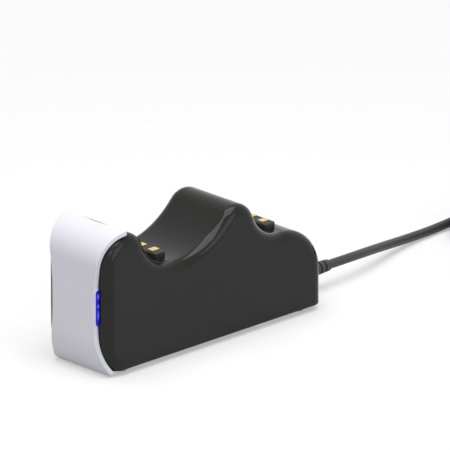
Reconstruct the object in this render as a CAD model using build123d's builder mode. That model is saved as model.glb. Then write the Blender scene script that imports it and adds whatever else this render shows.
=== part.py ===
from build123d import *
import os
from math import radians, sqrt, tan

# A two-seat charging dock: an hourglass front cover on a narrow housing with a wave-shaped top.
# Millimetres, +Z up. The cover faces -Y, and the origin is on the floor under the middle of the dock.

# Housing and its wave
body_width = 39.0
wall = 2.2
edge_round = 4.6
rim_round = 1.0
rim_height = 2.4
crest_height = 65.2
crest_setback = 13.8
hump_radius = 10.5
crest_to_seat = 29.4
seat_depth = 20.5
seat_pitch = 68.0
seat_drop = 3.5
rear_round = 22.0
toe_radius = 26.3
toe_height = 18.6

# Front cover
cover_thickness = 2.2
cover_bottom = 0.5
cover_spare = 3.0
station_spacing = 2.0
waist_inset = 6.2
waist_low = 24.8
brow_height = 21.5
toe_flare = 71.0
brow_flare = 82.0
ridge_setback = 11.7
ridge_scoop = 4.0
toe_inset = 1.9
toe_corner = 2.5
side_edge_round = 0.6
toe_edge_round = 0.4
ridge_bevel = 0.4
peg_diameter = 3.0
peg_spacing = 16.0
peg_heights = (15.0, 49.0)
peg_overrun = 1.5

# Status light guides
guide_height = 17.0
guide_centre = 33.3
guide_depth = 1.9
guide_cheek = 0.3
guide_nose = 1.6
guide_proud = 1.0
stem_height = 13.0
stem_reach = 2.4
led_size = 2.4
led_thickness = 1.2

# Base plate, feet and fasteners
plate_thickness = 2.0
plate_corner = 4.0
foot_diameter = 8.0
foot_recess = 0.6
foot_inset = 6.5
boss_diameter = 6.0
boss_height = 14.0
boss_sink = 0.4
boss_front = -38.0
boss_rear = 34.0
screw_diameter = 2.2
screw_length = 9.0
screw_head_diameter = 4.4
screw_head_height = 1.2
small_screw_diameter = 1.8
small_screw_length = 4.0
small_head_diameter = 3.4
small_head_height = 1.0

# Circuit boards
board_clearance = 0.7
board_length = 92.0
board_thickness = 1.6
board_centre = 6.0
standoff_diameter = 5.0
standoff_height = 4.6
standoff_inset = 4.0
led_board_margin = 2.3
led_board_height = 23.0
led_board_thickness = 1.2
led_boss_spacing = 14.0
chip_size = 7.0
chip_height = 1.4
chip_from_seat = 14.0
inductor_size = 6.0
inductor_height = 3.5
inductor_round = 1.1
inductor_from_chip = 9.0
capacitor_diameter = 6.0
capacitor_height = 9.0
capacitor_spacing = 10.0

# Seat terminals
terminal_width = 17.0
terminal_depth = 6.4
terminal_proud = 2.2
terminal_round = 1.2
flange_margin = 2.3
flange_depth = 8.0
flange_thickness = 2.0
flange_drop = 3.0
contact_spacing = 8.0
contact_width = 3.4
contact_length = 4.4
contact_thickness = 0.5
blade_width = 1.4
blade_overrun = 3.0
wire_diameter = 1.4
wire_spacing = 3.0
wire_lap = 6.0

# Cord, strain relief and plug
cord_diameter = 4.2
bend_share = 0.45
exit_height = 10.0
relief_length = 22.0
relief_collar = 7.2
relief_tip = 5.4
relief_flange = 9.6
relief_flange_thickness = 1.8
relief_collar_length = 3.5
groove_count = 5
groove_width = 1.0
groove_depth = 0.7
coil_columns = 3
coil_mean_diameter = 50.0
coil_centre = (13.3, 200.0)
tie_thickness = 0.8
tie_arc = 16.0
plug_width = 15.5
plug_height = 8.0
plug_length = 17.0
plug_boot_length = 7.0
plug_boot_diameter = 6.4
plug_boot_taper = 3.0
plug_round = 2.2
shell_width = 12.0
shell_height = 4.5
shell_length = 12.0
shell_thickness = 0.35
window_size = 2.2
tongue_thickness = 1.9
pin_count = 4
pin_width = 1.0
pin_spacing = 2.4
pin_thickness = 0.2

# Clearances
cover_gap = 0.1
fit = 0.15
thread_fit = 0.05

# Places worked out from the sizes above
half_width = body_width / 2
cavity_half = half_width - wall
waist_half = half_width - waist_inset
toe_half = half_width - toe_inset
waist_high = crest_height - brow_height
body_depth = cover_thickness + cover_gap + crest_setback + seat_pitch + crest_to_seat + rear_round
cover_front = -body_depth / 2
housing_front = cover_front + cover_thickness + cover_gap
housing_back = body_depth / 2
front_crest = (housing_front + crest_setback, crest_height)
front_seat = (front_crest[0] + crest_to_seat, crest_height - seat_depth)
rear_crest = (front_crest[0] + seat_pitch, crest_height - seat_drop)
rear_seat = (front_seat[0] + seat_pitch, front_seat[1] - seat_drop)
plate_top = rim_height + plate_thickness
board_bottom = plate_top + standoff_height
board_top = board_bottom + board_thickness


def junction(crest, seat, grow):
    """Point where the arc over a crest runs into the arc through a seat."""
    run = seat[0] - crest[0]
    drop = crest[1] - seat[1]
    reach = (run**2 + drop**2) / (2 * drop)
    share = (hump_radius + grow) / reach
    return (crest[0] + run * share, crest[1] - hump_radius + (reach - drop) * share)


def toe_start(grow, bottom):
    """Y of the curved toe of the side profile at the height bottom."""
    drop = toe_height - bottom
    return housing_front + toe_radius - sqrt((toe_radius + grow) ** 2 - drop**2)


def side_outline(grow, bottom):
    """Side profile of the housing, grown outward by grow and cut flat at bottom."""
    start = (toe_start(grow, bottom), bottom)
    face_low = (housing_front - grow, toe_height)
    face_high = (housing_front - grow, crest_height - crest_setback)
    tops = [(y, z + grow) for y, z in (front_crest, front_seat, rear_crest, rear_seat)]
    bends = [
        junction(front_crest, front_seat, grow),
        junction(rear_crest, front_seat, grow),
        junction(rear_crest, rear_seat, grow),
    ]
    back_high = (housing_back + grow, rear_seat[1] - rear_round)
    back_low = (housing_back + grow, bottom)
    TangentArc(face_low, start, tangent=(0, -1))
    Line(face_low, face_high)
    TangentArc(face_high, tops[0], tangent=(0, 1))
    for top, bend, next_top in zip(tops, bends, tops[1:]):
        TangentArc(top, bend, tangent=(1, 0))
        TangentArc(next_top, bend, tangent=(-1, 0))
    TangentArc(tops[-1], back_high, tangent=(1, 0))
    Polyline(back_high, back_low, start)


def body_form(grow, bottom):
    """Solid of the housing's outer form, grown outward by grow, with its side edges rounded."""
    with BuildPart() as form:
        with BuildSketch(Plane.YZ):
            with BuildLine():
                side_outline(grow, bottom)
            make_face()
        extrude(amount=half_width + grow, both=True)
        sides = form.faces().filter_by(Axis.X)
        fillet(sides.edges().filter_by(lambda edge: edge.center().Z > bottom + fit), edge_round + grow)
    return form.part


def flare(distance, radius):
    """How far the cover's edge has curved outward at a distance from its straight waist."""
    return radius - sqrt(radius**2 - max(0, distance) ** 2)


def cover_section(spot, heading, half):
    """Section of the cover, square to its path up the housing's front."""
    with BuildSketch(Plane(spot, x_dir=(1, 0, 0), z_dir=heading)) as section:
        with Locations((0, cover_gap + cover_thickness / 2)):
            Rectangle(2 * half, cover_thickness)
        fillet(section.vertices().group_by(Axis.Y)[-1], side_edge_round)
    return section.sketch


def toe_front():
    """Front view of the room for the cover, with rounded corners at the foot of it."""
    with BuildSketch(Plane.XZ) as outline:
        with Locations((0, cover_bottom)):
            Rectangle(2 * toe_half, toe_height, align=(Align.CENTER, Align.MIN))
        fillet(outline.vertices().group_by(Axis.Z)[0], toe_corner)
        with Locations((0, toe_height)):
            Rectangle(2 * body_width, body_width * 2, align=(Align.CENTER, Align.MIN))
    return outline.sketch


def ridge_plan():
    """Top view of the cover, whose rear edge is scooped towards the front."""
    middle = housing_front + ridge_setback
    end = middle + ridge_scoop
    front = cover_front - cover_thickness
    with BuildSketch() as top_view:
        with BuildLine():
            ThreePointArc((-half_width, end), (0, middle), (half_width, end))
            Polyline((half_width, end), (half_width, front), (-half_width, front), (-half_width, end))
        make_face()
    return top_view.sketch


def guide_outline(x, clearance):
    """D-shaped side view of a light guide: flat against the housing, rounded towards the front."""
    depth = cover_thickness + cover_gap - guide_cheek
    with BuildSketch(Plane.YZ.offset(x)) as side_view:
        with Locations((housing_front - depth / 2, guide_centre)):
            Rectangle(depth + 2 * clearance, guide_height + 2 * clearance)
        fillet(side_view.vertices().group_by(Axis.X)[0], guide_nose)
    return side_view.sketch


def facing_front(y):
    """Plane across the dock at y, with its local axes along X and Z."""
    return Plane.XZ.offset(-y)


def discs(plane, spots, diameter):
    """Equal circles on a plane, one at each spot."""
    with BuildSketch(plane) as circles:
        with Locations(*spots):
            Circle(diameter / 2)
    return circles.sketch


def blocks(plane, spots, width, height, corner=0):
    """Equal rectangles on a plane, one at each spot, with rounded corners where corner is given."""
    with BuildSketch(plane) as rectangles:
        with Locations(*spots):
            if corner:
                RectangleRounded(width, height, corner)
            else:
                Rectangle(width, height)
    return rectangles.sketch


def pairs(reach, places):
    """Spots on both sides of the middle plane, at each of the places along it."""
    return [(side * reach, place) for side in (-1, 1) for place in places]


def flange_top(seat):
    """Height of the top of a terminal's flange under its seat."""
    return seat[1] - wall - flange_drop


housing_form = body_form(0, rim_height)
cavity_form = body_form(-wall, rim_height - wall)

seats = (front_seat, rear_seat)
peg_spots = pairs(peg_spacing / 2, peg_heights)
led_screw_spots = [(0, guide_centre - led_boss_spacing / 2), (0, guide_centre + led_boss_spacing / 2)]
guide_inner = waist_half - guide_depth
stem_spots = pairs(guide_inner + guide_depth / 2, [guide_centre])
stem_end = housing_front + wall + stem_reach
led_board_front = stem_end + fit + led_thickness
led_board_width = 2 * (cavity_half - led_board_margin)
boss_x = cavity_half - boss_diameter / 2 + boss_sink
boss_spots = pairs(boss_x, (boss_front, boss_rear))
board_width = 2 * (boss_x - boss_diameter / 2 - board_clearance)
flange_width = 2 * (cavity_half - flange_margin)
flange_screw_x = (flange_width + terminal_width) / 4
pilot_hole = screw_diameter + 2 * thread_fit
small_pilot_hole = small_screw_diameter + 2 * thread_fit
neck_hole = relief_collar - 2 * groove_depth

# Front cover: a bent sheet with the outline of an hourglass, and pegs on its back
with BuildLine(Plane.YZ) as cover_path:
    path_start = (toe_start(0, cover_bottom - cover_spare), cover_bottom - cover_spare)
    face_low = (housing_front, toe_height)
    face_high = (housing_front, crest_height - crest_setback)
    toe_run = TangentArc(face_low, path_start, tangent=(0, -1))
    Line(face_low, face_high)
    TangentArc(face_high, front_crest, tangent=(0, 1))
    TangentArc(front_crest, junction(front_crest, front_seat, 0), tangent=(1, 0))
path = cover_path.wire()
with BuildPart() as front_cover:
    station_count = round(path.length / station_spacing)
    sections = []
    for index in range(station_count + 1):
        along = index / station_count
        climb = (1 - along) * path.length - toe_run.length + toe_height
        half = waist_half + flare(waist_low - climb, toe_flare) + flare(climb - waist_high, brow_flare)
        sections.append(cover_section(path @ along, path % along, half))
    loft(sections)
    extrude(toe_front(), amount=body_depth, both=True, mode=Mode.INTERSECT)
    extrude(ridge_plan(), amount=body_depth, mode=Mode.INTERSECT)
    ridge_edge = front_cover.faces().sort_by(Axis.Y)[-1].edges().sort_by(Axis.Z)[-1]
    chamfer(ridge_edge, ridge_bevel)
    toe_edge = front_cover.faces().sort_by(Axis.Z)[0].edges().sort_by(Axis.Y)[0]
    fillet(toe_edge, toe_edge_round)
    for side in (-1, 1):
        notch = guide_outline(side * (guide_inner - fit), fit)
        extrude(notch, amount=side * half_width, mode=Mode.SUBTRACT)
    peg_start = cover_front + cover_thickness / 2
    peg_length = housing_front + wall + peg_overrun - peg_start
    extrude(discs(facing_front(peg_start), peg_spots, peg_diameter), amount=-peg_length)

# Main housing: a shell open at the bottom, with bosses, terminal slots and the cord hole
with BuildPart() as main_housing:
    add(housing_form)
    fillet(main_housing.faces().sort_by(Axis.Z)[0].edges(), rim_round)
    add(cavity_form, mode=Mode.SUBTRACT)
    extrude(discs(Plane.XY.offset(plate_top), boss_spots, boss_diameter), amount=boss_height)
    pilots = discs(Plane.XY.offset(plate_top), boss_spots, pilot_hole)
    extrude(pilots, amount=screw_length, mode=Mode.SUBTRACT)
    for seat in seats:
        under_seat = Plane.XY.offset(flange_top(seat))
        flange_spots = pairs(flange_screw_x, [seat[0]])
        extrude(discs(under_seat, flange_spots, standoff_diameter), amount=flange_drop + wall / 2)
        extrude(discs(under_seat, flange_spots, small_pilot_hole), amount=flange_drop, mode=Mode.SUBTRACT)
        slot = blocks(
            under_seat, [(0, seat[0])], terminal_width + 2 * fit, terminal_depth + 2 * fit, terminal_round
        )
        extrude(slot, amount=seat_depth, mode=Mode.SUBTRACT)
    boss_root = housing_front + wall / 2
    led_bosses = discs(facing_front(boss_root), led_screw_spots, standoff_diameter)
    extrude(led_bosses, amount=boss_root - led_board_front)
    led_pilots = discs(facing_front(led_board_front), led_screw_spots, small_pilot_hole)
    extrude(led_pilots, amount=small_screw_length - led_board_thickness, mode=Mode.SUBTRACT)
    peg_holes = discs(facing_front(cover_front), peg_spots, peg_diameter + 2 * fit)
    extrude(peg_holes, amount=cover_front - stem_end, mode=Mode.SUBTRACT)
    stem_slots = blocks(facing_front(cover_front), stem_spots, guide_depth + 2 * fit, stem_height + 2 * fit)
    extrude(stem_slots, amount=cover_front - stem_end, mode=Mode.SUBTRACT)
    cord_hole = discs(facing_front(housing_back), [(0, exit_height)], neck_hole + 2 * thread_fit)
    extrude(cord_hole, amount=2 * wall, mode=Mode.SUBTRACT)

# Light guides: D-shaped lenses in the cover's waist, with stems through the housing
guides = {}
for name, side in (("left_light_guide", -1), ("right_light_guide", 1)):
    with BuildPart() as light_guide:
        extrude(guide_outline(side * guide_inner, 0), amount=side * (guide_depth + guide_proud))
        stem_root = housing_front - cover_gap - guide_cheek
        stem_spot = (side * (guide_inner + guide_depth / 2), guide_centre)
        stem = blocks(facing_front(stem_root), [stem_spot], guide_depth, stem_height)
        extrude(stem, amount=stem_root - stem_end)
    guides[name] = light_guide

# Base plate: closes the housing from below and carries the board on standoffs
plate_front = toe_start(-wall, rim_height) + fit
plate_back = housing_back - wall - fit
plate_middle = (plate_front + plate_back) / 2
plate_half = cavity_half - fit
foot_spots = pairs(plate_half - foot_inset, (plate_front + foot_inset, plate_back - foot_inset))
standoff_reach = board_length / 2 - standoff_inset
standoff_spots = pairs(
    board_width / 2 - standoff_inset, (board_centre - standoff_reach, board_centre + standoff_reach)
)
with BuildPart() as base_plate:
    underside = Plane.XY.offset(rim_height)
    plate_length = plate_back - plate_front
    plate = blocks(underside, [(0, plate_middle)], 2 * plate_half, plate_length, plate_corner)
    extrude(plate, amount=plate_thickness)
    extrude(discs(Plane.XY.offset(plate_top), standoff_spots, standoff_diameter), amount=standoff_height)
    board_pilots = discs(Plane.XY.offset(board_bottom), standoff_spots, small_pilot_hole)
    extrude(board_pilots, amount=-small_screw_length, mode=Mode.SUBTRACT)
    foot_recesses = discs(underside, foot_spots, foot_diameter + 2 * thread_fit)
    extrude(foot_recesses, amount=foot_recess, mode=Mode.SUBTRACT)
    head_recesses = discs(underside, boss_spots, screw_head_diameter + 2 * fit)
    extrude(head_recesses, amount=screw_head_height, mode=Mode.SUBTRACT)
    screw_holes = discs(underside, boss_spots, screw_diameter + 2 * fit)
    extrude(screw_holes, amount=plate_thickness, mode=Mode.SUBTRACT)

# Rubber feet, set in the plate's recesses
with BuildPart() as rubber_feet:
    extrude(discs(Plane.XY, foot_spots, foot_diameter), amount=rim_height + foot_recess)


def screws(plane, spots, diameter, length, head_diameter, head_height):
    """Pan-head screws whose heads start on a plane and whose shanks point along its normal."""
    with BuildPart() as group:
        extrude(discs(plane, spots, head_diameter), amount=head_height)
        extrude(discs(plane, spots, diameter), amount=head_height + length)
    return group


base_screws = screws(
    Plane.XY.offset(rim_height),
    boss_spots,
    screw_diameter,
    screw_length,
    screw_head_diameter,
    screw_head_height,
)
board_screws = screws(
    Plane.XY.offset(board_top + small_head_height).reverse(),
    [(x, -y) for x, y in standoff_spots],
    small_screw_diameter,
    small_screw_length,
    small_head_diameter,
    small_head_height,
)
led_screws = screws(
    facing_front(led_board_front + led_board_thickness + small_head_height),
    led_screw_spots,
    small_screw_diameter,
    small_screw_length,
    small_head_diameter,
    small_head_height,
)

# Main circuit board with its charging parts, two of each: one set for each seat
chip_places = (front_seat[0] + chip_from_seat, rear_seat[0] - chip_from_seat)
inductor_places = (chip_places[0] + inductor_from_chip, chip_places[1] - inductor_from_chip)
capacitor_place = sum(inductor_places) / 2
on_board = Plane.XY.offset(board_top)
with BuildPart() as main_board:
    extrude(
        blocks(Plane.XY.offset(board_bottom), [(0, board_centre)], board_width, board_length),
        amount=board_thickness,
    )
    board_holes = discs(on_board, standoff_spots, small_screw_diameter + 2 * fit)
    extrude(board_holes, amount=-board_thickness, mode=Mode.SUBTRACT)
with BuildPart() as charge_chips:
    extrude(blocks(on_board, [(0, y) for y in chip_places], chip_size, chip_size), amount=chip_height)
with BuildPart() as inductors:
    coils = blocks(on_board, [(0, y) for y in inductor_places], inductor_size, inductor_size, inductor_round)
    extrude(coils, amount=inductor_height)
with BuildPart() as capacitors:
    cans = discs(on_board, pairs(capacitor_spacing / 2, [capacitor_place]), capacitor_diameter)
    extrude(cans, amount=capacitor_height)

# Indicator board behind the cover, with a light behind each guide
with BuildPart() as led_board:
    upright_board = blocks(
        facing_front(led_board_front), [(0, guide_centre)], led_board_width, led_board_height
    )
    extrude(upright_board, amount=-led_board_thickness)
    led_holes = discs(facing_front(led_board_front), led_screw_spots, small_screw_diameter + 2 * fit)
    extrude(led_holes, amount=-led_board_thickness, mode=Mode.SUBTRACT)
with BuildPart() as indicator_leds:
    extrude(blocks(facing_front(led_board_front), stem_spots, led_size, led_size), amount=led_thickness)


def terminal_block(seat):
    """Block that stands in a seat's slot, screwed by its flange to the bosses below."""
    top = Plane.XY.offset(flange_top(seat))
    middle = [(0, seat[0])]
    with BuildPart() as block:
        extrude(blocks(top, middle, flange_width, flange_depth, terminal_round), amount=-flange_thickness)
        flange_spots = pairs(flange_screw_x, [seat[0]])
        flange_holes = discs(top, flange_spots, small_screw_diameter + 2 * fit)
        extrude(flange_holes, amount=-flange_thickness, mode=Mode.SUBTRACT)
        extrude(
            blocks(top, middle, terminal_width, terminal_depth, terminal_round),
            amount=flange_drop + wall + terminal_proud,
        )
        fillet(block.faces().sort_by(Axis.Z)[-1].edges(), terminal_round / 2)
        contact_spots = pairs(contact_spacing / 2, [seat[0]])
        slits = blocks(top, contact_spots, blade_width + 2 * fit, contact_thickness + 2 * fit)
        extrude(slits, amount=seat_depth, both=True, mode=Mode.SUBTRACT)
    return block


def contacts(seat):
    """Two contacts: pads on top of a terminal block, on blades that pass down through it."""
    pad_bottom = seat[1] + terminal_proud
    spots = pairs(contact_spacing / 2, [seat[0]])
    with BuildPart() as strips:
        pads = blocks(Plane.XY.offset(pad_bottom), spots, contact_width, contact_length, contact_thickness)
        extrude(pads, amount=contact_thickness)
        blades = blocks(Plane.XY.offset(pad_bottom), spots, blade_width, contact_thickness)
        extrude(blades, amount=blade_end(seat) - pad_bottom)
    return strips


def blade_end(seat):
    """Height of the lower end of a seat's contact blades."""
    return flange_top(seat) - flange_thickness - blade_overrun


def terminal_wires(seat):
    """Straight wires from a seat's contact blades down to the board."""
    spots = pairs(contact_spacing / 2, [seat[0]])
    with BuildPart() as wires:
        extrude(discs(on_board, spots, wire_diameter), amount=blade_end(seat) - board_top)
    return wires


def terminal_screws(seat):
    """Screws through a terminal's flange into the bosses under its seat."""
    return screws(
        Plane.XY.offset(flange_top(seat) - flange_thickness - small_head_height),
        pairs(flange_screw_x, [seat[0]]),
        small_screw_diameter,
        small_screw_length,
        small_head_diameter,
        small_head_height,
    )


# Wires from the indicator board to the main board, and from the cord to the main board
wire_height = board_top + wire_diameter / 2
board_front = board_centre - board_length / 2
led_board_back = led_board_front + led_board_thickness
with BuildPart() as led_wires:
    for side in (-1, 1):
        x = side * wire_spacing / 2
        drop_place = (led_board_back + board_front) / 2
        with BuildLine() as wire_route:
            FilletPolyline(
                (x, led_board_back, guide_centre),
                (x, drop_place, guide_centre),
                (x, drop_place, wire_height),
                (x, board_front + wire_lap, wire_height),
                radius=2 * wire_diameter,
            )
        with BuildSketch(Plane((x, led_board_back, guide_centre), z_dir=(0, 1, 0))):
            Circle(wire_diameter / 2)
        sweep()
relief_inner = housing_back - wall - relief_flange_thickness
with BuildPart() as supply_wires:
    supply_start = board_centre + board_length / 2 - wire_lap
    ends = discs(facing_front(supply_start), pairs(wire_spacing / 2, [wire_height]), wire_diameter)
    extrude(ends, amount=supply_start - relief_inner)

# Strain relief: a grooved boot whose neck sits in the back wall between a flange and a collar
relief_end = housing_back + relief_length
with BuildPart() as strain_relief:
    with BuildSketch(Plane.YZ):
        taper_start = housing_back + relief_collar_length
        with BuildLine():
            Polyline(
                (relief_inner, exit_height),
                (relief_inner, exit_height + relief_flange / 2),
                (housing_back - wall, exit_height + relief_flange / 2),
                (housing_back - wall, exit_height + neck_hole / 2),
                (housing_back, exit_height + neck_hole / 2),
                (housing_back, exit_height + relief_collar / 2),
                (taper_start, exit_height + relief_collar / 2),
                (relief_end, exit_height + relief_tip / 2),
                (relief_end, exit_height),
                close=True,
            )
        make_face()
        groove_pitch = (relief_end - taper_start) / (groove_count + 1)
        for index in range(groove_count):
            along = (index + 1) / (groove_count + 1)
            surface = relief_collar / 2 + along * (relief_tip - relief_collar) / 2
            with Locations((taper_start + (index + 1) * groove_pitch, exit_height + surface)):
                Rectangle(groove_width, 2 * groove_depth, mode=Mode.SUBTRACT)
    revolve(axis=Axis((0, 0, exit_height), (0, 1, 0)))

# Coil of the spare cord, held by a tie
coil_width = coil_columns * cord_diameter
coil_outer = (coil_mean_diameter + coil_width) / 2
coil_inner = (coil_mean_diameter - coil_width) / 2
turn_radius = coil_outer - cord_diameter / 2
with BuildPart() as cord_coil:
    with BuildSketch(Plane.XY.offset(tie_thickness)):
        with Locations(coil_centre):
            Circle(coil_outer)
            Circle(coil_inner, mode=Mode.SUBTRACT)
    extrude(amount=coil_width)
    fillet(cord_coil.edges().filter_by(GeomType.CIRCLE), cord_diameter / 2 - fit)
with BuildPart() as cord_tie:
    tie_plane = Plane((coil_centre[0], coil_centre[1], 0), x_dir=(0, 1, 0), z_dir=(1, 0, 0))
    tie_width = coil_width + 2 * tie_thickness
    with BuildSketch(tie_plane):
        with Locations((coil_mean_diameter / 2, tie_thickness + coil_width / 2)):
            RectangleRounded(tie_width, tie_width, cord_diameter / 2)
            Rectangle(coil_width, coil_width, mode=Mode.SUBTRACT)
    revolve(axis=Axis((coil_centre[0], coil_centre[1], 0), (0, 0, 1)), revolution_arc=tie_arc)


def corner_radii(points):
    """Bend radius at each inner point of a cord's route, as large as its shorter run allows."""
    radii = []
    for before, point, after in zip(points, points[1:], points[2:]):
        arrive = Vector(point) - Vector(before)
        leave = Vector(after) - Vector(point)
        half_turn = radians(arrive.get_angle(leave) / 2)
        radii.append(bend_share * min(arrive.length, leave.length) / tan(half_turn))
    return radii


def cord_tube(points):
    """Round cord along a route, trimmed where it runs into the coil."""
    with BuildPart() as tube:
        with BuildLine():
            FilletPolyline(*points, radius=corner_radii(points))
        with BuildSketch(Plane(points[0], z_dir=Vector(points[1]) - Vector(points[0]))):
            Circle(cord_diameter / 2)
        sweep()
        add(cord_coil.part, mode=Mode.SUBTRACT)
    return tube


low_turn = tie_thickness + cord_diameter / 2
middle_turn = low_turn + cord_diameter
cord_route = [
    (0, relief_end, exit_height),
    (0, 103.0, exit_height),
    (-3.7, 120.0, 8.2),
    (-8.9, 137.5, 5.4),
    (-13.2, 155.0, 3.0),
    (-15.0, 172.5, 2.3),
    (coil_centre[0] - turn_radius, 188.0, low_turn),
]
tail_x = coil_centre[0] + turn_radius
tail_route = [
    (tail_x, 200.0, middle_turn),
    (tail_x, 193.5, 6.6),
    (tail_x, 187.0, 4.6),
    (tail_x, 181.5, plug_height / 2),
    (tail_x, 176.0, plug_height / 2),
]
power_cord = cord_tube(cord_route)
cord_tail = cord_tube(tail_route)

# Plug: an overmoulded grip, a metal shell, and a tongue with four contacts inside it
plug_x, plug_start, plug_z = tail_route[-1]
grip_start = plug_start - plug_boot_length
shell_start = grip_start - plug_length
shell_end = shell_start - shell_length
plug_middle = [(plug_x, plug_z)]
with BuildPart() as plug_grip:
    boot = discs(facing_front(plug_start), plug_middle, plug_boot_diameter)
    extrude(boot, amount=plug_boot_length, taper=-plug_boot_taper)
    grip = blocks(facing_front(grip_start), plug_middle, plug_width, plug_height, plug_round)
    extrude(grip, amount=plug_length)
with BuildPart() as plug_shell:
    extrude(blocks(facing_front(shell_start), plug_middle, shell_width, shell_height), amount=shell_length)
    extrude(
        blocks(
            facing_front(shell_start),
            plug_middle,
            shell_width - 2 * shell_thickness,
            shell_height - 2 * shell_thickness,
        ),
        amount=shell_length,
        mode=Mode.SUBTRACT,
    )
    window_spots = [(plug_x + side * shell_width / 4, (shell_start + shell_end) / 2) for side in (-1, 1)]
    windows = blocks(Plane.XY, window_spots, window_size, window_size)
    extrude(windows, amount=2 * plug_height, mode=Mode.SUBTRACT)
tongue_top = plug_z + shell_height / 2 - shell_thickness
tongue_spot = [(plug_x, tongue_top - tongue_thickness / 2)]
with BuildPart() as plug_tongue:
    tongue_width = shell_width - 2 * shell_thickness - fit
    tongue = blocks(facing_front(shell_start), tongue_spot, tongue_width, tongue_thickness)
    extrude(tongue, amount=shell_length - wall / 2)
with BuildPart() as plug_contacts:
    pin_z = tongue_top - tongue_thickness - pin_thickness / 2
    first_pin = plug_x - (pin_count - 1) * pin_spacing / 2
    pin_spots = [(first_pin + index * pin_spacing, pin_z) for index in range(pin_count)]
    pins = blocks(facing_front(shell_start), pin_spots, pin_width, pin_thickness)
    extrude(pins, amount=shell_length - wall)

pieces = {
    "front_cover": front_cover,
    "main_housing": main_housing,
    "base_plate": base_plate,
    "rubber_feet": rubber_feet,
    "base_screws": base_screws,
    **guides,
    "led_board": led_board,
    "indicator_leds": indicator_leds,
    "led_board_screws": led_screws,
    "led_wires": led_wires,
    "main_board": main_board,
    "main_board_screws": board_screws,
    "charge_chips": charge_chips,
    "inductors": inductors,
    "capacitors": capacitors,
    "supply_wires": supply_wires,
    "strain_relief": strain_relief,
    "power_cord": power_cord,
    "cord_coil": cord_coil,
    "cord_tie": cord_tie,
    "cord_tail": cord_tail,
    "plug_grip": plug_grip,
    "plug_shell": plug_shell,
    "plug_tongue": plug_tongue,
    "plug_contacts": plug_contacts,
}
for place, seat in (("front", front_seat), ("rear", rear_seat)):
    pieces[f"{place}_terminal_block"] = terminal_block(seat)
    pieces[f"{place}_contacts"] = contacts(seat)
    pieces[f"{place}_terminal_wires"] = terminal_wires(seat)
    pieces[f"{place}_terminal_screws"] = terminal_screws(seat)

os.makedirs("parts", exist_ok=True)
for name, piece in pieces.items():
    piece.part.label = name
    export_step(piece.part, f"parts/{name}.step")
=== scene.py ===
from math import acos, asin, cos, pi, radians, sin, sqrt

import bpy
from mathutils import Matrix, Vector


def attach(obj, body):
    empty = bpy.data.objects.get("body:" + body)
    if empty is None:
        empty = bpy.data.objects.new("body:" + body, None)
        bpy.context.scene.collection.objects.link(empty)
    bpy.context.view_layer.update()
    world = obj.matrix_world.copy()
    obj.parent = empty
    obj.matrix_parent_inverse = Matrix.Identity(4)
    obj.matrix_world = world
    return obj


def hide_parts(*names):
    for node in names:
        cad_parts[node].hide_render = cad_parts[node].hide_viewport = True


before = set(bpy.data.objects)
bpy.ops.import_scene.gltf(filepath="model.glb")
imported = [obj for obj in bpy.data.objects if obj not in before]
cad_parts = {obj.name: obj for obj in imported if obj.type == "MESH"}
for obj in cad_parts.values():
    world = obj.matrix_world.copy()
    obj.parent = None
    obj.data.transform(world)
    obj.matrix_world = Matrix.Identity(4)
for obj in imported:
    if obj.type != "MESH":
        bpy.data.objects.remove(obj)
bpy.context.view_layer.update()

# A two-seat charging dock on a pale studio floor. Metres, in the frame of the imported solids.
mm = 0.001
scene = bpy.context.scene
scene.view_settings.view_transform = "Standard"
nodes = {name: bpy.data.objects[name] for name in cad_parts}


def add_object(name, data):
    """New object of the scene that holds the data."""
    added = bpy.data.objects.new(name, data)
    scene.collection.objects.link(added)
    return added


def facing(direction):
    """Rotation of a camera or a light that looks along a direction."""
    return direction.to_track_quat("-Z", "Y").to_euler()


# Camera: a long lens, from the front right
camera_azimuth = radians(45.89)
camera_elevation = radians(19.98)
camera_distance = 6.0
camera_reach = 20.0
camera_lens = 1077.4
aim_right = 18.42 * mm
aim_up = 48.76 * mm


def add_camera():
    """Camera aimed at a point beside and above the origin as the view sees it."""
    right = Vector((cos(camera_azimuth), sin(camera_azimuth), 0))
    back = Vector((
        sin(camera_azimuth) * cos(camera_elevation),
        -cos(camera_azimuth) * cos(camera_elevation),
        sin(camera_elevation),
    ))
    up = back.cross(right)
    data = bpy.data.cameras.new("camera")
    data.lens = camera_lens
    data.clip_end = camera_reach
    camera = add_object("camera", data)
    camera.location = right * aim_right + up * aim_up + back * camera_distance
    camera.rotation_euler = facing(-back)
    scene.camera = camera


add_camera()

# Cord: control points from the strain relief to the coil and from the coil to the plug, in millimetres
cord_route = [
    (0, 89.75, 10),
    (0, 103, 10),
    (-3.7, 120, 8.2),
    (-8.9, 137.5, 5.4),
    (-13.2, 155, 3.0),
    (-15.0, 172.5, 2.3),
    (-15.9, 188, 2.9),
]
tail_route = [
    (42.5, 193.5, 6.6),
    (42.5, 187, 4.6),
    (42.5, 181.5, 4),
    (42.5, 176, 4),
]
cord_diameter = 4.2 * mm
cord_steps = 6
# Coil: the height of its middle layer is in cord diameters above its floor
coil_centre = Vector((13.3, 200.0, 0)) * mm
coil_radius = 25.0 * mm
coil_floor = 0.8 * mm
coil_turns = 6.5
middle_layer = 1.5
points_per_turn = 24
# Places of the turns in the coil's section, as (column from the middle outwards, layer from the middle up)
turn_places = [(1, -1), (0, -1), (-1, -1), (-1, 0), (-1, 1), (0, 1), (1, 1), (1, 0)]
# Angles of the steps between these places: the first step, a step's width, and how much sooner a corner's step comes
first_step = radians(286)
step_width = radians(56)
corner_shift = radians(64)


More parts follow.
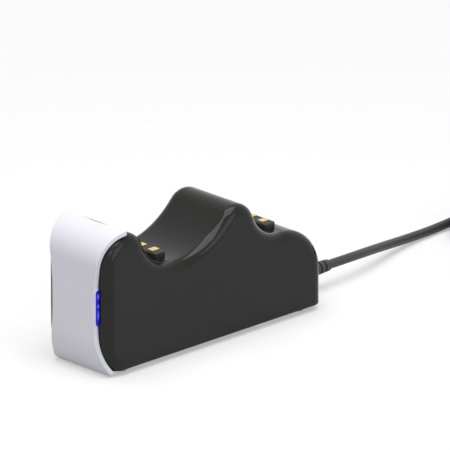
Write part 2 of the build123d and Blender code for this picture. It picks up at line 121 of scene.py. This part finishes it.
def step_angles():
    """Angle at which the cord moves from each place in the coil to the next one."""
    angles = [first_step]
    for before, place, after in zip(turn_places, turn_places[1:], turn_places[2:]):
        straight = (place[0] - before[0], place[1] - before[1]) == (after[0] - place[0], after[1] - place[1])
        angles.append(angles[-1] + 2 * pi - (0 if straight else corner_shift))
    return angles


def eased(share):
    """The share, held between 0 and 1, with a gentle start and end."""
    share = min(1, max(0, share))
    return share * share * (3 - 2 * share)


def coil_points():
    """Control points of the turns, clockwise from the left of the coil."""
    steps = step_angles()
    points = []
    # A quadratic spline runs inside its control points, so they lie further out than the cord
    spread = 4 / (3 + cos(2 * pi / points_per_turn))
    for index in range(int(coil_turns * points_per_turn) + 1):
        angle = index * 2 * pi / points_per_turn
        column, layer = turn_places[0]
        for start, place, after in zip(steps, turn_places, turn_places[1:]):
            share = eased((angle - start) / step_width + 0.5)
            column += share * (after[0] - place[0])
            layer += share * (after[1] - place[1])
        radius = (coil_radius + column * cord_diameter) * spread
        height = coil_floor + (layer + middle_layer) * cord_diameter
        points.append(coil_centre + Vector((-radius * cos(angle), radius * sin(angle), height)))
    return points


def smooth_curve(name, points):
    """Round curve of one open spline that runs smoothly near its points."""
    data = bpy.data.curves.new(name, "CURVE")
    data.dimensions = "3D"
    spline = data.splines.new("NURBS")
    spline.points.add(len(points) - 1)
    for control, point in zip(spline.points, points):
        control.co = (*point, 1)
        control.radius = cord_diameter / 2
    spline.order_u = 3
    spline.use_endpoint_u = True
    spline.resolution_u = cord_steps
    data.bevel_depth = 1
    data.bevel_resolution = cord_steps
    data.use_fill_caps = True
    return add_object(name, data)


def add_cord():
    """The cord from its strain relief through the coil to its plug."""
    route = [Vector(point) * mm for point in cord_route]
    tail = [Vector(point) * mm for point in tail_route]
    cord = smooth_curve("cord", route + coil_points() + tail)
    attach(cord, "root")
    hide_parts("power_cord", "cord_coil", "cord_tail")
    return cord


cord = add_cord()


# Building blocks of the materials
def new_material(name):
    """Material with a bare Principled shader, its node tree and the shader."""
    material = bpy.data.materials.new(name)
    material.use_nodes = True
    return material, material.node_tree, material.node_tree.nodes["Principled BSDF"]


def object_space(tree, stretch=(1, 1, 1)):
    """Coordinates of the part itself, in metres, drawn out along an axis where stretch is below 1."""
    place = tree.nodes.new("ShaderNodeTexCoord")
    mapping = tree.nodes.new("ShaderNodeMapping")
    mapping.inputs["Scale"].default_value = stretch
    tree.links.new(place.outputs["Object"], mapping.inputs["Vector"])
    return mapping.outputs["Vector"]


def sideways(tree, place):
    """Distance to the right of the part's middle plane."""
    split = tree.nodes.new("ShaderNodeSeparateXYZ")
    tree.links.new(place, split.inputs["Vector"])
    return split.outputs["X"]


def noise(tree, place, size, detail=2):
    """Noise whose features are about size across."""
    texture = tree.nodes.new("ShaderNodeTexNoise")
    texture.inputs["Scale"].default_value = 1 / size
    texture.inputs["Detail"].default_value = detail
    tree.links.new(place, texture.inputs["Vector"])
    return texture.outputs["Fac"]


def maths(tree, operation, first, second):
    """Result of an operation on two values."""
    node = tree.nodes.new("ShaderNodeMath")
    node.operation = operation
    tree.links.new(first, node.inputs[0])
    tree.links.new(second, node.inputs[1])
    return node.outputs["Value"]


def vector_maths(tree, operation, vector, constant):
    """Result of an operation on a vector and a constant one."""
    node = tree.nodes.new("ShaderNodeVectorMath")
    node.operation = operation
    node.inputs[1].default_value = constant
    tree.links.new(vector, node.inputs[0])
    return node.outputs["Vector"]


def length_of(tree, vector):
    """Length of a vector."""
    node = tree.nodes.new("ShaderNodeVectorMath")
    node.operation = "LENGTH"
    tree.links.new(vector, node.inputs[0])
    return node.outputs["Value"]


def remap(tree, value, low, high, start=0.3, end=0.7):
    """The value's range from start to end, taken to the range from low to high."""
    node = tree.nodes.new("ShaderNodeMapRange")
    node.inputs["From Min"].default_value = start
    node.inputs["From Max"].default_value = end
    node.inputs["To Min"].default_value = low
    node.inputs["To Max"].default_value = high
    tree.links.new(value, node.inputs["Value"])
    return node.outputs["Result"]


def blend(tree, value, first, last, start=0.3, end=0.7):
    """Colour that runs from first to last as the value goes from start to end."""
    ramp = tree.nodes.new("ShaderNodeValToRGB")
    for element, position, colour in zip(ramp.color_ramp.elements, (start, end), (first, last)):
        element.position = position
        element.color = (*colour, 1)
    tree.links.new(value, ramp.inputs["Fac"])
    return ramp.outputs["Color"]


def mixed(tree, value, colour, other):
    """The plain colour where the value is 0, and the other node's colour where it is 1."""
    mix = tree.nodes.new("ShaderNodeMix")
    mix.data_type = "RGBA"
    mix.inputs["A"].default_value = (*colour, 1)
    tree.links.new(value, mix.inputs["Factor"])
    tree.links.new(other, mix.inputs["B"])
    return mix.outputs["Result"]


def toned(colour, share):
    """The colour made lighter or darker by a share."""
    return tuple(min(1, value * share) for value in colour)


def rough(tree, shader, value, low, high):
    """Roughness that goes from low to high with the value."""
    tree.links.new(remap(tree, value, low, high), shader.inputs["Roughness"])


def relief(tree, shader, height, depth, strength):
    """Bump of a depth in metres."""
    bump = tree.nodes.new("ShaderNodeBump")
    bump.inputs["Distance"].default_value = depth
    bump.inputs["Strength"].default_value = strength
    tree.links.new(height, bump.inputs["Height"])
    tree.links.new(bump.outputs["Normal"], shader.inputs["Normal"])


# Kinds of material. Shares are of the colour, the roughness or the size of the grain
mottle_size = 18 * mm
moulded_gloss = 0.15
moulded_depth = 0.1
metal_dark = 0.93
metal_light = 1.05
metal_gloss = 0.3
metal_depth = 0.05
board_tracks = {
    "Scale": 180,
    "Mortar Size": 0.03,
    "Mortar Smooth": 0.3,
    "Color1": (0.012, 0.12, 0.045, 1),
    "Color2": (0.016, 0.15, 0.06, 1),
    "Mortar": (0.05, 0.26, 0.12, 1),
}
wire_red = (0.35, 0.012, 0.01)
wire_black = (0.012, 0.012, 0.012)
wire_gap = 0.1 * mm
weave_scale = 1600
weave_dark = 0.7
weave_light = 1.4
weave_sheen = 0.3


def moulded(name, colour, roughness, grain, strength, specular=0.5, uneven=0.05):
    """Moulded plastic or rubber: a fine grain, slightly uneven gloss and a faint unevenness of colour."""
    material, tree, shader = new_material(name)
    place = object_space(tree)
    fine = noise(tree, place, grain, detail=3)
    broad = noise(tree, place, mottle_size)
    tint = blend(tree, broad, toned(colour, 1 - uneven), toned(colour, 1 + uneven))
    tree.links.new(tint, shader.inputs["Base Color"])
    rough(tree, shader, fine, roughness * (1 - moulded_gloss), roughness * (1 + moulded_gloss))
    relief(tree, shader, fine, grain * moulded_depth, strength)
    shader.inputs["Specular IOR Level"].default_value = specular
    return material


def metal(name, colour, roughness, grain, stretch=(1, 1, 1)):
    """Metal with a fine finish, drawn out along an axis where stretch is below 1."""
    material, tree, shader = new_material(name)
    fine = noise(tree, object_space(tree, stretch), grain, detail=4)
    tint = blend(tree, fine, toned(colour, metal_dark), toned(colour, metal_light))
    tree.links.new(tint, shader.inputs["Base Color"])
    rough(tree, shader, fine, roughness * (1 - metal_gloss), roughness * (1 + metal_gloss))
    relief(tree, shader, fine, grain * metal_depth, strength=0.3)
    shader.inputs["Metallic"].default_value = 1
    return material


def printed_board(name):
    """Solder mask over a pattern of tracks."""
    material, tree, shader = new_material(name)
    place = object_space(tree)
    tracks = tree.nodes.new("ShaderNodeTexBrick")
    for socket, value in board_tracks.items():
        tracks.inputs[socket].default_value = value
    tree.links.new(place, tracks.inputs["Vector"])
    tree.links.new(tracks.outputs["Color"], shader.inputs["Base Color"])
    rough(tree, shader, noise(tree, place, size=1.5 * mm), low=0.28, high=0.4)
    relief(tree, shader, tracks.outputs["Fac"], depth=0.05 * mm, strength=0.4)
    return material


def paired_wires(name):
    """Insulated wires, red on the left of the middle plane and black on the right."""
    material, tree, shader = new_material(name)
    place = object_space(tree)
    side = remap(tree, sideways(tree, place), 0, 1, start=-wire_gap, end=wire_gap)
    tree.links.new(blend(tree, side, wire_red, wire_black), shader.inputs["Base Color"])
    fine = noise(tree, place, size=0.5 * mm)
    rough(tree, shader, fine, low=0.35, high=0.5)
    relief(tree, shader, fine, depth=0.03 * mm, strength=0.3)
    return material


def woven(name, colour):
    """Hook-and-loop strap with a fine weave."""
    material, tree, shader = new_material(name)
    place = object_space(tree)
    weave = tree.nodes.new("ShaderNodeTexChecker")
    weave.inputs["Scale"].default_value = weave_scale
    weave.inputs["Color1"].default_value = (*toned(colour, weave_dark), 1)
    weave.inputs["Color2"].default_value = (*toned(colour, weave_light), 1)
    tree.links.new(place, weave.inputs["Vector"])
    tree.links.new(weave.outputs["Color"], shader.inputs["Base Color"])
    fuzz = noise(tree, place, size=0.3 * mm, detail=4)
    rough(tree, shader, fuzz, low=0.75, high=0.95)
    relief(tree, shader, fuzz, depth=0.1 * mm, strength=0.8)
    shader.inputs["Sheen Weight"].default_value = weave_sheen
    return material


# Light guides: the lens turns from its pale front edge to its blue face between the seam and the face
lens_seam = 14.15 * mm
lens_face = 14.28 * mm
lens_front = -66.0 * mm
lens_colour = (0.02, 0.012, 0.30)
lens_dark = (0.010, 0.010, 0.016)
lens_rim_colour = (0.64, 0.63, 0.90)
lens_glow = (0.006, 0.003, 0.26)
lens_rim_glow = (0.05, 0.05, 0.22)
lens_spot_glow = (0.12, 0.15, 0.85)
no_glow = (0, 0, 0)
# Bright spots, as (height, half-axes), and the share of a spot that is at its brightest
lens_spots = [
    (38.6 * mm, (1.2 * mm, 0.8 * mm, 1.6 * mm)),
    (34.1 * mm, (1.2 * mm, 0.9 * mm, 1.1 * mm)),
    (29.8 * mm, (1.2 * mm, 0.7 * mm, 2.9 * mm)),
]
spot_core = 0.2


def glow_spot(tree, place, height, half_axes):
    """Bright spot on the lens that fades out at its half-axes."""
    offset = vector_maths(tree, "SUBTRACT", place, (lens_face, lens_front, height))
    scaled = vector_maths(tree, "DIVIDE", offset, half_axes)
    return remap(tree, length_of(tree, scaled), 1, 0, start=spot_core, end=1)


def status_lens(name):
    """Light guides: the right one lit deep blue, paler in its front edge and with bright spots, the left one dark."""
    material, tree, shader = new_material(name)
    place = object_space(tree)
    across = sideways(tree, place)
    outward = remap(tree, across, 0, 1, start=lens_seam, end=lens_face)
    lit = remap(tree, across, 0, 1, start=-mm, end=mm)
    body = blend(tree, outward, lens_rim_colour, lens_colour, start=0.2, end=0.9)
    tree.links.new(mixed(tree, lit, lens_dark, body), shader.inputs["Base Color"])
    fine = noise(tree, place, size=0.6 * mm)
    rough(tree, shader, fine, low=0.12, high=0.2)
    relief(tree, shader, fine, depth=0.03 * mm, strength=0.2)
    light, *others = [glow_spot(tree, place, *spot) for spot in lens_spots]
    for other in others:
        light = maths(tree, "MAXIMUM", light, other)
    glow = blend(tree, light, lens_glow, lens_spot_glow, start=0, end=1)
    glow = mixed(tree, outward, lens_rim_glow, glow)
    tree.links.new(mixed(tree, lit, no_glow, glow), shader.inputs["Emission Color"])
    shader.inputs["Emission Strength"].default_value = 1
    return material


# Finishes of the slots
plastics = {
    "white_shell": dict(
        colour=(0.80, 0.79, 0.87), roughness=0.42, grain=0.25 * mm, strength=0.12, specular=0.4, uneven=0.015
    ),
    "black_shell": dict(
        colour=(0.009, 0.009, 0.0085), roughness=0.10, grain=1.6 * mm, strength=0.05, specular=0.26, uneven=0.1
    ),
    "base_black": dict(colour=(0.02, 0.02, 0.021), roughness=0.6, grain=0.35 * mm, strength=0.5),
    "foot_rubber": dict(colour=(0.028, 0.028, 0.028), roughness=0.8, grain=0.4 * mm, strength=0.5, specular=0.3),
    "led_lens": dict(colour=(0.82, 0.80, 0.55), roughness=0.2, grain=0.4 * mm, strength=0.2),
    "chip_black": dict(colour=(0.02, 0.02, 0.02), roughness=0.55, grain=0.2 * mm, strength=0.4),
    "cord_jacket": dict(colour=(0.042, 0.042, 0.045), roughness=0.45, grain=0.35 * mm, strength=0.25, specular=0.4),
    "plug_insert": dict(colour=(0.80, 0.80, 0.77), roughness=0.4, grain=0.3 * mm, strength=0.2),
}
metals = {
    "screw_steel": dict(colour=(0.56, 0.56, 0.58), roughness=0.3, grain=0.3 * mm),
    "capacitor_can": dict(colour=(0.72, 0.72, 0.73), roughness=0.28, grain=0.3 * mm, stretch=(1, 1, 0.15)),
    "contact_gold": dict(colour=(0.86, 0.61, 0.24), roughness=0.22, grain=0.2 * mm, stretch=(0.2, 1, 1)),
    "plug_metal": dict(colour=(0.74, 0.74, 0.76), roughness=0.2, grain=0.25 * mm, stretch=(1, 0.1, 1)),
}
finishes = {
    **{name: moulded(name, **look) for name, look in plastics.items()},
    **{name: metal(name, **look) for name, look in metals.items()},
    "status_light": status_lens("status_light"),
    "circuit_board": printed_board("circuit_board"),
    "wire_sleeve": paired_wires("wire_sleeve"),
    "tie_strap": woven("tie_strap", colour=(0.025, 0.025, 0.027)),
}
for node in nodes.values():
    node.data.materials[0] = finishes[node.data.materials[0].name]
cord.data.materials.append(finishes["cord_jacket"])

# Front cover: its outer skin, in millimetres. From the bottom up it is a toe, a flat face, a brow and a hump
skin_front = -67.75
skin_bottom = 0.5
skin_thickness = 2.2
toe_height = 18.6
toe_radius = 28.6
crest_height = 67.5
crest_flat = 1.1
brow_radius = 15.0
hump_radius = 12.8
face_run = crest_height - brow_radius - toe_height
toe_run = toe_radius * asin((toe_height - skin_bottom) / toe_radius)
brow_run = brow_radius * pi / 2
# Outline: the half width is smallest at the waist, and grows on an arc to the toe and at a slope to the brow
waist_half = 13.5
waist_low = 28.0
toe_flare = 83.0
toe_corner = 2.5
brow_start = 47.5
brow_ease = 6.0
brow_slope = 0.2
brow_corner = 5.0
# The ridge lies further back at the sides, by its scoop
ridge_middle = 14.0
ridge_scoop = 4.0
ridge_half = 19.5
# Rim and mesh
rim_round = 0.6
rim_steps = 4
row_count = 110
column_count = 40
row_points = column_count + 1
crease_angle = radians(40)


def skin_point(x, run, depth):
    """Point at a depth under the skin, where run is the way up the skin from the top of its toe."""
    beyond_brow = run - face_run - brow_run
    if run < 0:
        reach = toe_radius - depth
        turn = -run / toe_run * asin((toe_height - skin_bottom) / reach)
        back, height = toe_radius - reach * cos(turn), toe_height - reach * sin(turn)
    elif run < face_run:
        back, height = depth, toe_height + run
    elif beyond_brow < 0:
        turn = (run - face_run) / brow_radius
        reach = brow_radius - depth
        back, height = brow_radius - reach * cos(turn), crest_height - brow_radius + reach * sin(turn)
    else:
        turn = max(0, beyond_brow - crest_flat) / hump_radius
        reach = hump_radius - depth
        back = brow_radius + min(beyond_brow, crest_flat) + reach * sin(turn)
        height = crest_height - hump_radius + reach * cos(turn)
    return Vector((x, skin_front + back, height)) * mm


def ridge_run(x):
    """Way up the skin to the scooped ridge."""
    back = ridge_middle + ridge_scoop * (x / ridge_half) ** 2
    if back < brow_radius:
        return face_run + brow_radius * acos(1 - back / brow_radius)
    return face_run + brow_run + back - brow_radius


def corner_cut(distance, radius):
    """How far a rounded corner stands back at a distance from the end of the sheet."""
    short = max(0, radius - distance)
    return radius - sqrt(radius**2 - short**2)


def skin_half(run, top):
    """Half width of the skin without its rim."""
    below = max(0, waist_low - toe_height - run)
    above = toe_height + run - brow_start
    half = waist_half + toe_flare - sqrt(toe_flare**2 - below**2)
    half += brow_slope * (above + sqrt(above**2 + brow_ease**2)) / 2
    half -= corner_cut(run + toe_run - rim_round, toe_corner - rim_round)
    half -= corner_cut(top - run, brow_corner - rim_round)
    return half - rim_round


def skin_places():
    """Places on the skin without its rim, as (x, run), row by row from the bottom left."""
    bottom = rim_round - toe_run
    top = ridge_run(ridge_half) - rim_round
    places = []
    for row in range(row_count + 1):
        share = row / row_count
        half = skin_half(bottom + share * (top - bottom), top)
        across = [half * (2 * column / column_count - 1) for column in range(row_points)]
        places += [(x, bottom + share * (ridge_run(x) - rim_round - bottom)) for x in across]
    return places


def skin_border():
    """Indices of the places on the border, anticlockwise from the bottom left."""
    top_left = row_count * row_points
    border = list(range(row_points))
    border += [row * row_points + column_count for row in range(1, row_count + 1)]
    border += [top_left + column for column in reversed(range(column_count))]
    border += [row * row_points for row in reversed(range(1, row_count))]
    return border


def outward_directions(loop):
    """Unit directions out of a loop of (x, run) places that runs anticlockwise."""
    directions = []
    for before, after in zip(loop[-1:] + loop[:-1], loop[1:] + loop[:1]):
        direction = Vector((after[1] - before[1], before[0] - after[0]))
        directions.append(direction.normalized())
    return directions


def rim_shifts():
    """Steps round the rim and down to the inner side, as (way out, depth)."""
    turns = [step * pi / 2 / rim_steps for step in range(1, rim_steps + 1)]
    shifts = [(rim_round * sin(turn), rim_round * (1 - cos(turn))) for turn in turns]
    return shifts + [(rim_round, skin_thickness)]


def cover_shape():
    """Points and faces of the cover: its outer skin, the rings of its rim and its inner side."""
    places = skin_places()
    border = skin_border()
    loop = [places[index] for index in border]
    directions = outward_directions(loop)
    points = [skin_point(x, run, 0) for x, run in places]
    rings = [border]
    for shift, depth in rim_shifts():
        rings.append(list(range(len(points), len(points) + len(loop))))
        for (x, run), direction in zip(loop, directions):
            run = max(-toe_run, run + shift * direction[1])
            points.append(skin_point(x + shift * direction[0], run, depth))
    inner = len(points)
    points += [skin_point(x, run, skin_thickness) for x, run in places]
    rings.append([inner + index for index in border])
    faces = []
    for row in range(row_count):
        for column in range(column_count):
            first = row * row_points + column
            quad = (first, first + 1, first + row_points + 1, first + row_points)
            faces.append(quad)
            faces.append(tuple(inner + index for index in reversed(quad)))
    for ring, next_ring in zip(rings, rings[1:]):
        for index in range(len(ring)):
            faces.append((ring[index - 1], next_ring[index - 1], next_ring[index], ring[index]))
    return points, faces


def add_cover():
    """Cover as a bent sheet with a rounded rim all round."""
    points, faces = cover_shape()
    mesh = bpy.data.meshes.new("cover_skin")
    mesh.from_pydata(points, [], faces)
    mesh.polygons.foreach_set("use_smooth", [True] * len(mesh.polygons))
    mesh.set_sharp_from_angle(angle=crease_angle)
    mesh.materials.append(finishes["white_shell"])
    cover = add_object("cover_skin", mesh)
    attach(cover, "root")
    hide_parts("front_cover")


add_cover()

# Studio: the floor glows by a share near the part, and fully beyond the fade's end
floor_half = 6
floor_glow = 0.38
floor_fade = (0.25, 0.9)
floor_colour = (0.93, 0.93, 0.93)
floor_bounce = (0.55, 0.55, 0.55)
floor_mottle = 0.4
sky_light = 0.35


def seen_or_mirrored(tree):
    """1 for what the camera sees directly, mirrored or through glass, and 0 for light that falls on things."""
    path = tree.nodes.new("ShaderNodeLightPath")
    seen = path.outputs["Is Camera Ray"]
    for name in ("Is Glossy Ray", "Is Transmission Ray"):
        seen = maths(tree, "MAXIMUM", seen, path.outputs[name])
    return seen


def floor_material():
    """Matt floor that is pale to the eye and darker to the light it throws back."""
    material, tree, shader = new_material("floor")
    seen = seen_or_mirrored(tree)
    tree.links.new(blend(tree, seen, floor_bounce, floor_colour, start=0, end=1), shader.inputs["Base Color"])
    place = object_space(tree)
    rough(tree, shader, noise(tree, place, floor_mottle), low=0.85, high=0.95)
    shader.inputs["Specular IOR Level"].default_value = 0
    white = tree.nodes.new("ShaderNodeEmission")
    mix = tree.nodes.new("ShaderNodeMixShader")
    share = remap(tree, length_of(tree, place), floor_glow, 1, *floor_fade)
    tree.links.new(maths(tree, "MULTIPLY", seen, share), mix.inputs["Fac"])
    tree.links.new(shader.outputs["BSDF"], mix.inputs[1])
    tree.links.new(white.outputs["Emission"], mix.inputs[2])
    tree.links.new(mix.outputs["Shader"], tree.nodes["Material Output"].inputs["Surface"])
    return material


def add_floor():
    """Pale floor, white where no shadow falls on it."""
    mesh = bpy.data.meshes.new("floor")
    corners = [(x * floor_half, y * floor_half, 0) for x, y in ((-1, -1), (1, -1), (1, 1), (-1, 1))]
    mesh.from_pydata(corners, [], [(0, 1, 2, 3)])
    mesh.materials.append(floor_material())
    floor = add_object("floor", mesh)


def add_world():
    """White backdrop that lights the part less than it shows."""
    world = bpy.data.worlds.new("studio")
    scene.world = world
    world.use_nodes = True
    tree = world.node_tree
    sky = tree.nodes["Background"]
    sky.inputs["Color"].default_value = (1, 1, 1, 1)
    strength = remap(tree, seen_or_mirrored(tree), sky_light, 1, start=0, end=1)
    tree.links.new(strength, sky.inputs["Strength"])


def add_area_light(name, place, aim, size, power):
    """Square soft light."""
    data = bpy.data.lights.new(name, "AREA")
    data.size = size
    data.energy = power
    light = add_object(name, data)
    light.location = place
    light.rotation_euler = facing(Vector(aim) - Vector(place))


add_floor()
add_world()
add_area_light("top", place=(0.1, -0.1, 1.2), aim=(0, 0, 0), size=1.2, power=14)
add_area_light("front", place=(0.85, -0.88, 0.9), aim=(0, 0, 0.03), size=0.5, power=1.4)
add_area_light("side", place=(1.2, 0.1, 0.4), aim=(0, 0, 0.03), size=0.8, power=2.5)
